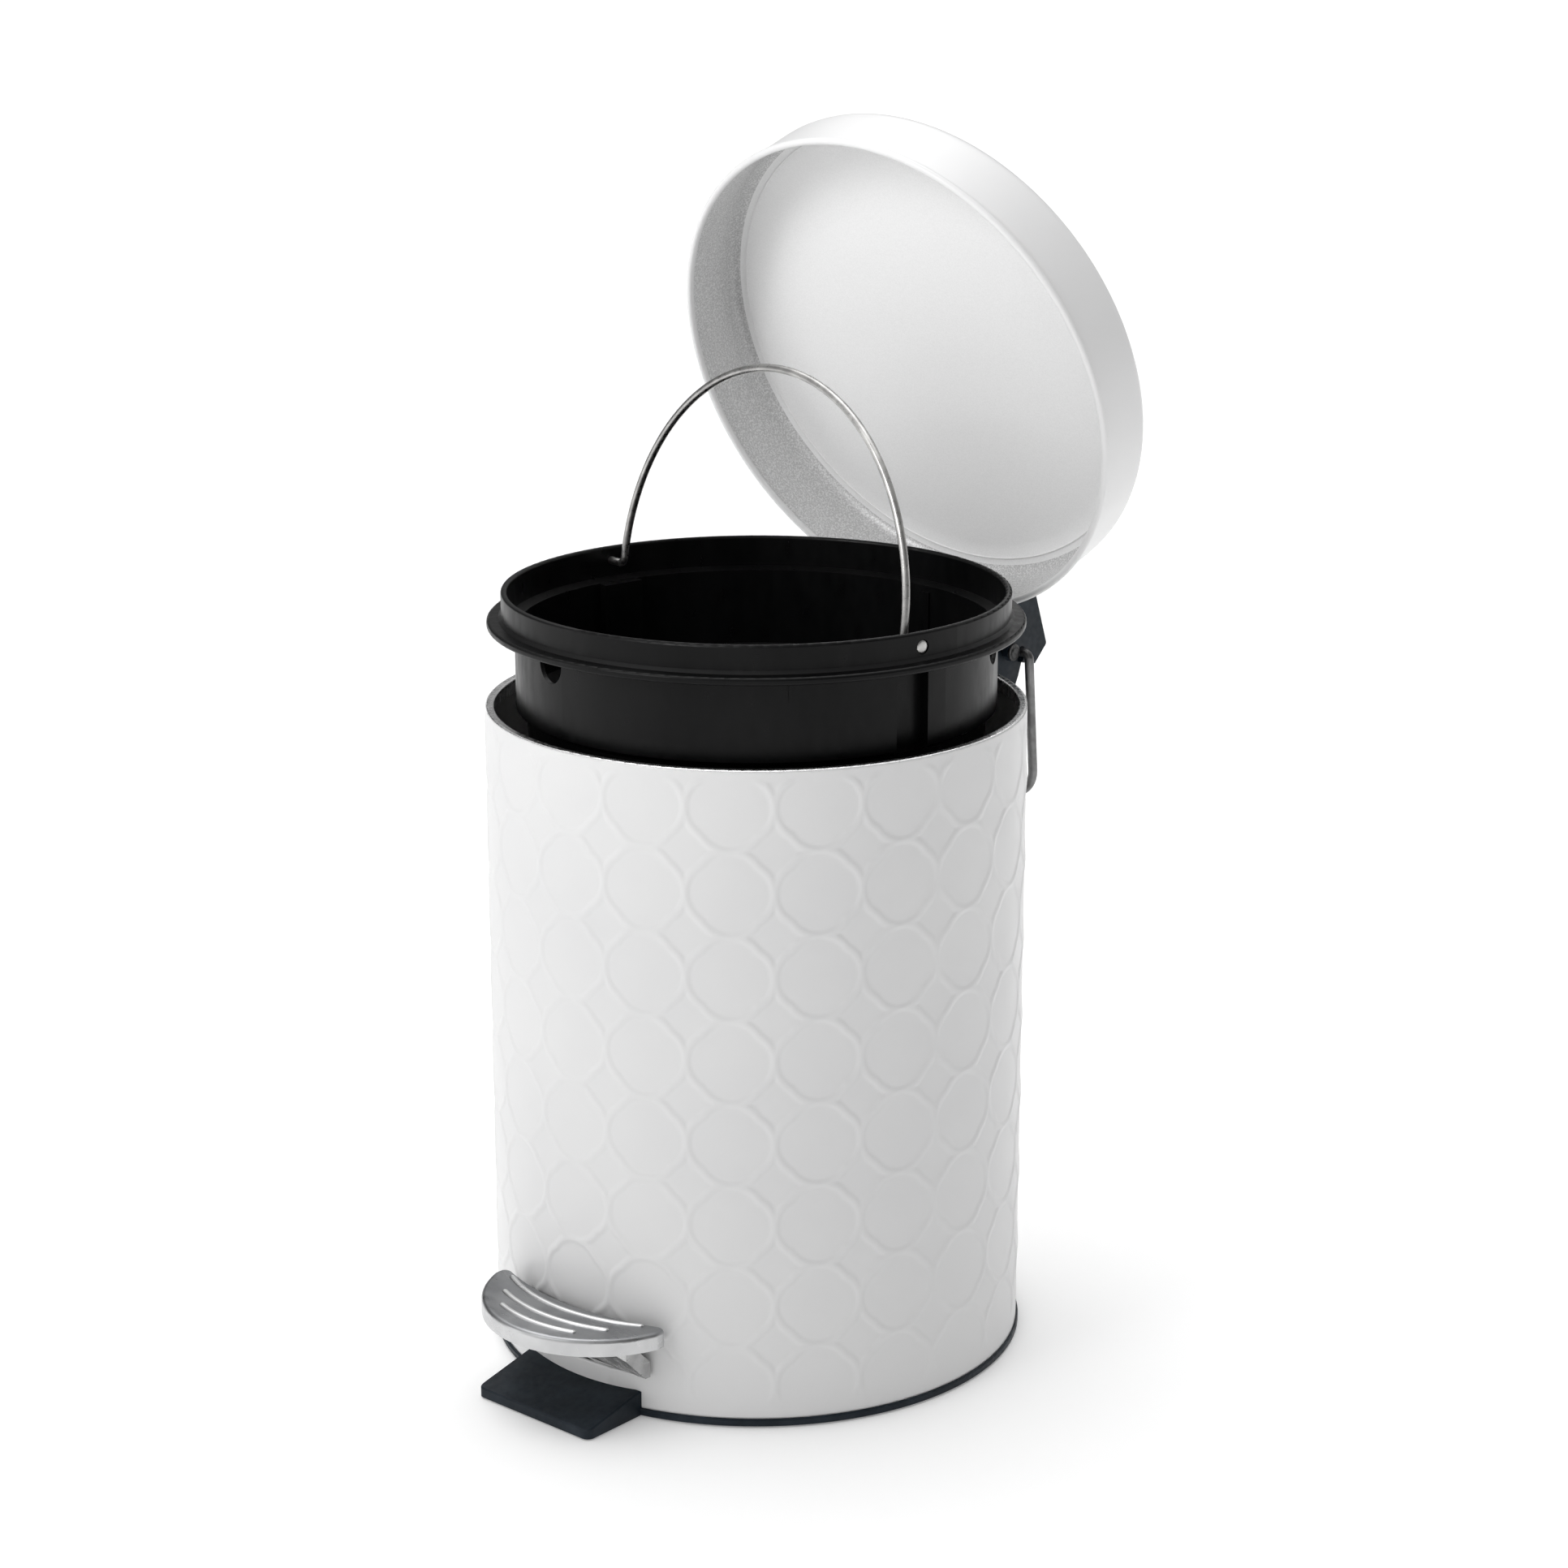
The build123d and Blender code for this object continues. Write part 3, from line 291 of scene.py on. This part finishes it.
# ---------------------------------------------------------------- mesh helpers
def add_mesh(name, verts, faces, looks):
    mesh = bpy.data.meshes.new(name)
    mesh.from_pydata(verts, [], faces)
    for look in looks:
        mesh.materials.append(look.material)
    thing = bpy.data.objects.new(name, mesh)
    scene.collection.objects.link(thing)
    return thing


def add_piece(name, verts, faces, looks, body, replaced=(), smooth_deg=40.0):
    piece = add_mesh(name, verts, faces, looks)
    piece.data.polygons.foreach_set("use_smooth", [True] * len(piece.data.polygons))
    piece.data.set_sharp_from_angle(angle=math.radians(smooth_deg))
    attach(piece, body)
    if replaced:
        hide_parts(*replaced)
    return piece


def lathe_faces(rings, sides):
    """Quads from each ring of vertices to the next, then a cap on the first and on the last."""
    faces = []
    for first in range(0, (rings - 1) * sides, sides):
        for k in range(sides):
            k2 = (k + 1) % sides
            faces.append([first + k, first + k2, first + sides + k2, first + sides + k])
    faces.append(list(range(sides))[::-1])
    faces.append([(rings - 1) * sides + k for k in range(sides)])
    return faces


def circle(steps):
    return np.linspace(0, 2 * math.pi, steps, endpoint=False)


# ---------------------------------------------------------------- the shell's pressed lattice
COLUMNS = 20
ROW_PITCH = 31.7 * MM
FIRST_ROW = 16.6 * MM
LOBE_R = 10.1 * MM  # a large cell is four overlapping round lobes
LOBE_OFF = 4.2 * MM
RIDGE_WIDE = 3.7 * MM
RIDGE_EDGE = 1.3 * MM  # how far a ridge takes to rise
RIDGE_HIGH = 0.4 * MM
PATTERN_LOW, PATTERN_LOW_FADE = 9 * MM, 5 * MM
PATTERN_HIGH, PATTERN_HIGH_FADE = 249.5 * MM, 2.5 * MM
SADDLE_HALF = math.radians(19)  # no pattern where the rear bracket sits
SADDLE_LOW = 214 * MM
PER_COLUMN = 44  # grid steps across a column of cells
ROW_STEP = 0.73 * MM
LINING_STEPS = 240


def ridge_height(phi, z):
    """Height of the pressed pattern at an angle from -Y and a height on the shell."""
    pitch = 2 * math.pi * SHELL_R / COLUMNS
    u = phi / (2 * math.pi) * COLUMNS
    v = (z - FIRST_ROW) / ROW_PITCH
    away = np.full(np.broadcast(u, v).shape, 1.0)
    for i in (0, 1):
        for j in (0, 1):
            x = (u - np.floor(u) - i) * pitch
            y = (v - np.floor(v) - j) * ROW_PITCH
            for lobe_x, lobe_y in ((1, 0), (-1, 0), (0, 1), (0, -1)):
                gap = np.hypot(x - lobe_x * LOBE_OFF, y - lobe_y * LOBE_OFF) - LOBE_R
                away = np.minimum(away, gap)
    rise = np.clip(np.minimum(away, RIDGE_WIDE - away) / RIDGE_EDGE, 0, 1)
    ridge = rise * rise * (3 - 2 * rise)
    fade = np.clip((z - PATTERN_LOW) / PATTERN_LOW_FADE, 0, 1)
    fade = fade * np.clip((PATTERN_HIGH - z) / PATTERN_HIGH_FADE, 0, 1)
    under_saddle = (np.abs(np.abs(phi) - math.pi) < SADDLE_HALF) & (z > SADDLE_LOW)
    return RIDGE_HIGH * ridge * fade * ~under_saddle


def snapped(lines, targets):
    """Grid lines with the nearest one moved onto each target."""
    for target in targets:
        lines[np.abs(lines - target).argmin()] = target
    return lines


def between(values, limits):
    return (values > limits[0]) & (values < limits[1])


def tube(radius, phis, zs, first, outward):
    """Vertices and faces of a cylinder grid with the lever's and the rod's slots left out."""
    r = np.broadcast_to(radius, (len(zs), len(phis)))
    x, y = r * np.sin(phis), -r * np.cos(phis)
    verts = np.stack([x, y, np.broadcast_to(zs[:, None], r.shape)], -1).reshape(-1, 3)
    mid_phi = (phis + np.roll(phis, -1)) / 2
    mid_phi[-1] = (phis[-1] + phis[0] + 2 * math.pi) / 2
    mid_phi = (mid_phi + math.pi) % (2 * math.pi) - math.pi
    mid_z = (zs[1:] + zs[:-1])[:, None] / 2
    in_front = (np.abs(mid_phi) < LEVER_SLOT_ANGLE) & between(mid_z, LEVER_SLOT_Z)
    in_back = (np.abs(mid_phi) > ROD_SLOT_ANGLE) & between(mid_z, ROD_SLOT_Z)
    rows, cols = np.nonzero(~(in_front | in_back))
    n = len(phis)
    a = rows * n + cols
    b = rows * n + (cols + 1) % n
    quads = np.stack([a, b, b + n, a + n], -1) + first
    return verts, quads if outward else quads[:, ::-1]


SLOT_ANGLES = (-LEVER_SLOT_ANGLE, LEVER_SLOT_ANGLE, ROD_SLOT_ANGLE, -ROD_SLOT_ANGLE)
phis = snapped(np.linspace(-math.pi, math.pi, COLUMNS * PER_COLUMN, endpoint=False), SLOT_ANGLES)
zs = np.linspace(shell_low.z, shell_high.z, round((shell_high.z - shell_low.z) / ROW_STEP))
zs = snapped(zs, (*LEVER_SLOT_Z, *ROD_SLOT_Z))
skin, skin_faces = tube(SHELL_R + ridge_height(phis[None, :], zs[:, None]), phis, zs, 0, True)
inner_phis = snapped(np.linspace(-math.pi, math.pi, LINING_STEPS, endpoint=False), SLOT_ANGLES)
inner_zs = np.array(sorted((shell_low.z, *LEVER_SLOT_Z, *ROD_SLOT_Z, shell_high.z)))
lining, lining_faces = tube(SHELL_R - SHELL_T, inner_phis, inner_zs, len(skin), False)
shell = add_piece(
    "embossed_shell",
    np.concatenate([skin, lining]).tolist(),
    np.concatenate([skin_faces, lining_faces]).tolist(),
    [paint],
    "can",
    ["body_shell"],
)
# the sheet's edges, turned in through its thickness
sheet = bmesh.new()
sheet.from_mesh(shell.data)
MID_SHEET = SHELL_R - SHELL_T / 2
edges = [e for e in sheet.edges if e.is_boundary and min(v.co.xy.length for v in e.verts) > MID_SHEET]
lips = bmesh.ops.extrude_edge_only(sheet, edges=edges)
for vert in (g for g in lips["geom"] if isinstance(g, bmesh.types.BMVert)):
    vert.co.xy *= (SHELL_R - SHELL_T) / vert.co.xy.length


def place_in_order(part):
    """A number that puts edges and faces in the order of their lowest and highest vertices."""
    indices = [v.index for v in part.verts]
    return min(indices) * len(sheet.verts) + max(indices)


# the turned-in faces come in no fixed order, so they are sorted to be the same each run
sheet.verts.index_update()
sheet.edges.sort(key=place_in_order)
sheet.faces.sort(key=place_in_order)
sheet.to_mesh(shell.data)
sheet.free()

# ---------------------------------------------------------------- lid: lathe with a rolled bead
LID_LOW = 256.5 * MM
LID_HIGH = 286.95 * MM
LID_R = 100.35 * MM
LID_T = 0.9 * MM
LID_CORNER = 6.0 * MM
LID_DIP = 0.4 * MM  # how far the top falls before its corner
BEAD_R = 1.4 * MM
RING_HIGH, RING_WIDE, RING_IN = 0.4 * MM, 0.9 * MM, 0.4 * MM  # a fine raised ring round the inner disc
DISC_STEPS, RING_STEPS = 12, 8
OUTER_WALL_STEP = 3.2 * MM
INNER_WALL_LOW, INNER_WALL_STEP = 4.5 * MM, 3.4 * MM
INNER_CORNER_SPLIT = (62, 66)  # degrees, where the inner wall's look ends and the disc's starts
LID_SEGMENTS = 256
LID_SMOOTH_DEG = 55
OUTSIDE, INNER_WALL, INNER_DISC = 0, 1, 2  # the lid's materials
BEAD_TAIL = 2  # rings at the bead's end that look like the inner wall


def arc(cx, cz, radius, start_deg, end_deg, steps):
    angles = [math.radians(start_deg + (end_deg - start_deg) * k / steps) for k in range(steps + 1)]
    return [(cx + radius * math.cos(a), cz + radius * math.sin(a)) for a in angles]


def dipped(k):
    return LID_HIGH - LID_DIP * (1 - math.cos(math.pi * k / DISC_STEPS)) / 2


def ring_z(k):
    return LID_HIGH - LID_T - RING_HIGH * math.sin(math.pi * k / RING_STEPS)


# radius and height, from the top's middle over the wall and back inside to the middle
corner_r = LID_R - LID_CORNER
corner_z = LID_HIGH - LID_CORNER
wall_deg = math.degrees(math.acos(LID_T / 2 / BEAD_R))
lid_profile = [(k / DISC_STEPS * corner_r, dipped(k)) for k in range(1, DISC_STEPS)]
lid_profile += arc(corner_r, corner_z, LID_CORNER, 90, 0, 14)
lid_profile += [(LID_R, corner_z - k * OUTER_WALL_STEP) for k in range(1, 6)]
lid_profile += arc(LID_R - LID_T / 2, LID_LOW + BEAD_R, BEAD_R, wall_deg, -180 - wall_deg, 26)
bead_count = len(lid_profile)
lid_profile += [(LID_R - LID_T, LID_LOW + INNER_WALL_LOW + k * INNER_WALL_STEP) for k in range(6)]
lid_profile += arc(corner_r, corner_z, LID_CORNER - LID_T, 0, INNER_CORNER_SPLIT[0], 10)
wall_count = len(lid_profile)
lid_profile += arc(corner_r, corner_z, LID_CORNER - LID_T, INNER_CORNER_SPLIT[1], 90, 5)
ring_r = corner_r - RING_IN
lid_profile += [(ring_r - RING_WIDE * k / RING_STEPS, ring_z(k)) for k in range(RING_STEPS + 1)]
lid_profile += [(k / DISC_STEPS * corner_r, LID_HIGH - LID_T) for k in range(DISC_STEPS - 1, 0, -1)]

# the profile is of the closed lid, and the rest pose is the open one
swing = Matrix.Translation(HINGE) @ Matrix.Rotation(-LID_OPEN, 4, "X") @ Matrix.Translation(-HINGE)
lid_verts, lid_looks = [], []
for r, z in lid_profile:
    lid_verts += [swing @ Vector((r * math.sin(a), r * math.cos(a), z)) for a in circle(LID_SEGMENTS)]
for i in range(len(lid_profile) - 1):
    index = OUTSIDE if i < bead_count - BEAD_TAIL else INNER_WALL if i < wall_count else INNER_DISC
    lid_looks += [index] * LID_SEGMENTS
lid_looks += [OUTSIDE, INNER_DISC]
lid_piece = add_piece(
    "drawn_lid",
    lid_verts,
    lathe_faces(len(lid_profile), LID_SEGMENTS),
    [lid_paint, lid_wall_grey, enamel],
    "lid_body",
    ["lid"],
    LID_SMOOTH_DEG,
)
lid_piece.data.polygons.foreach_set("material_index", lid_looks)

# ---------------------------------------------------------------- small riveted ends
DOME_SIDES = 28
DOME_SUNK = 0.5 * MM
DOME_DEGS = (20, 45, 70, 84)
BAIL_END_OUT, BAIL_END_R, BAIL_END_HIGH = 95.6 * MM, 2.4 * MM, 0.3 * MM
RIVET_ASIDE = math.radians(5.6)
RIVET_Z, RIVET_PROUD, RIVET_R, RIVET_HIGH = 130 * MM, 0.2 * MM, 2.8 * MM, 0.6 * MM


def dome(name, spot, out, radius, rise, look, body):
    """A low domed rivet end at a spot on a surface that faces out."""
    put = Matrix.Translation(spot) @ out.to_track_quat("Z", "Y").to_matrix().to_4x4()
    profile = [(radius, -DOME_SUNK), (radius, 0.0)]
    for angle in map(math.radians, DOME_DEGS):
        profile.append((radius * math.cos(angle), rise * math.sin(angle)))
    verts = []
    for r, z in profile:
        verts += [put @ Vector((r * math.cos(t), r * math.sin(t), z)) for t in circle(DOME_SIDES)]
    add_piece(name, verts, lathe_faces(len(profile), DOME_SIDES), [look], body)


bail_foot = Vector(joints["bail_swing"]["pos_m"])
bail_axis = Vector(joints["bail_swing"]["axis"]).normalized()
for mark, sign in (("left", -1), ("right", 1)):
    out = bail_axis * sign
    spot = bail_foot + out * BAIL_END_OUT
    dome(f"bail_end_{mark}", spot, out, BAIL_END_R, BAIL_END_HIGH, wire, "bail_body")
    aside = RIVET_ASIDE * sign
    out = Vector((math.sin(aside), math.cos(aside), 0))
    spot = out * (SHELL_R + RIVET_PROUD) + UP * RIVET_Z
    dome(f"guide_rivet_{mark}", spot, out, RIVET_R, RIVET_HIGH, zinc, "can")

# ---------------------------------------------------------------- floor and far wall
FLOOR_HALF = 30.0
WALL_R = 14.0
WALL_HIGH = 8.0
WALL_SIDES = 96

floor_look = Look("floor", grey(0.86), 0.7, Emission_Color=(1, 1, 1, 1), Emission_Strength=0.22)
floor_look.color((3, 3), (0.3, 0.7), grey(0.855), grey(0.865))
corners = [(x * FLOOR_HALF, y * FLOOR_HALF, 0) for x, y in ((-1, -1), (1, -1), (1, 1), (-1, 1))]
floor = add_mesh("floor", corners, [(0, 1, 2, 3)], [floor_look])

# a pale wall all round, which is seen but adds no light
wall_look = Look("wall", grey(0.8), 0.9, Emission_Color=(1, 1, 1, 1), Emission_Strength=1.0)
wall_verts, wall_faces = [], []
for z in (0, WALL_HIGH):
    wall_verts += [(WALL_R * math.sin(t), WALL_R * math.cos(t), z) for t in circle(WALL_SIDES)]
for k in range(WALL_SIDES):
    k2 = (k + 1) % WALL_SIDES
    wall_faces.append((k, k2, WALL_SIDES + k2, WALL_SIDES + k))
wall = add_mesh("wall", wall_verts, wall_faces, [wall_look])
wall.visible_diffuse = wall.visible_glossy = wall.visible_shadow = False


# ---------------------------------------------------------------- light
def softbox(name, direction, distance, size, power, target):
    """An area light that faces the target from a direction."""
    data = bpy.data.lights.new(name, "AREA")
    data.shape = "RECTANGLE"
    data.size, data.size_y = size
    data.energy = power
    light = bpy.data.objects.new(name, data)
    out = Vector(direction).normalized() * distance
    facing = out.to_track_quat("Z", "Y").to_matrix().to_4x4()
    light.matrix_world = Matrix.Translation(Vector(target) + out) @ facing
    scene.collection.objects.link(light)
    return light


from_left = -right - ahead * 0.12 + UP * 0.22
softbox("side", from_left, distance=1.6, size=(0.5, 0.8), power=1.6, target=(0, 0, 0.1))
over_lid = swing @ Vector((0, 0, LID_HIGH)) + UP * 0.03
lid_light = softbox("lid_light", (-0.15, -0.9, 0.42), 1.1, size=(0.45, 0.45), power=0.42, target=over_lid)
lid_light.data.spread = math.radians(50)

# the sky: a soft dome that is brightest overhead
SKY_BASE = 0.1
world = bpy.data.worlds.new("sky")
world.use_nodes = True
scene.world = world
sky = world.node_tree
background = sky.nodes["Background"]
background.inputs["Color"].default_value = (1, 1, 1, 1)
direction = sky.nodes.new("ShaderNodeTexCoord").outputs["Generated"]


def lobe(axis, power, gain):
    """Radiance that rises towards an axis."""
    dot = sky.nodes.new("ShaderNodeVectorMath")
    dot.operation = "DOT_PRODUCT"
    dot.inputs[1].default_value = Vector(axis).normalized()
    sky.links.new(direction, dot.inputs[0])
    value = dot.outputs["Value"]
    for operation, number in (("MAXIMUM", 0.0), ("POWER", power), ("MULTIPLY", gain)):
        value = math_node(sky, operation, value, number)
    return value


above = lobe(ahead * 0.3 - right * 0.1 + UP, power=8.0, gain=3.6)
front = lobe((-0.1, -0.95, 0.35), power=2.0, gain=0.7)
behind = lobe(right + ahead * 0.75 + UP * 0.5, power=3.0, gain=0.5)
radiance = math_node(sky, "ADD", above, front)
radiance = math_node(sky, "ADD", radiance, math_node(sky, "ADD", behind, SKY_BASE))
sky.links.new(radiance, background.inputs["Strength"])
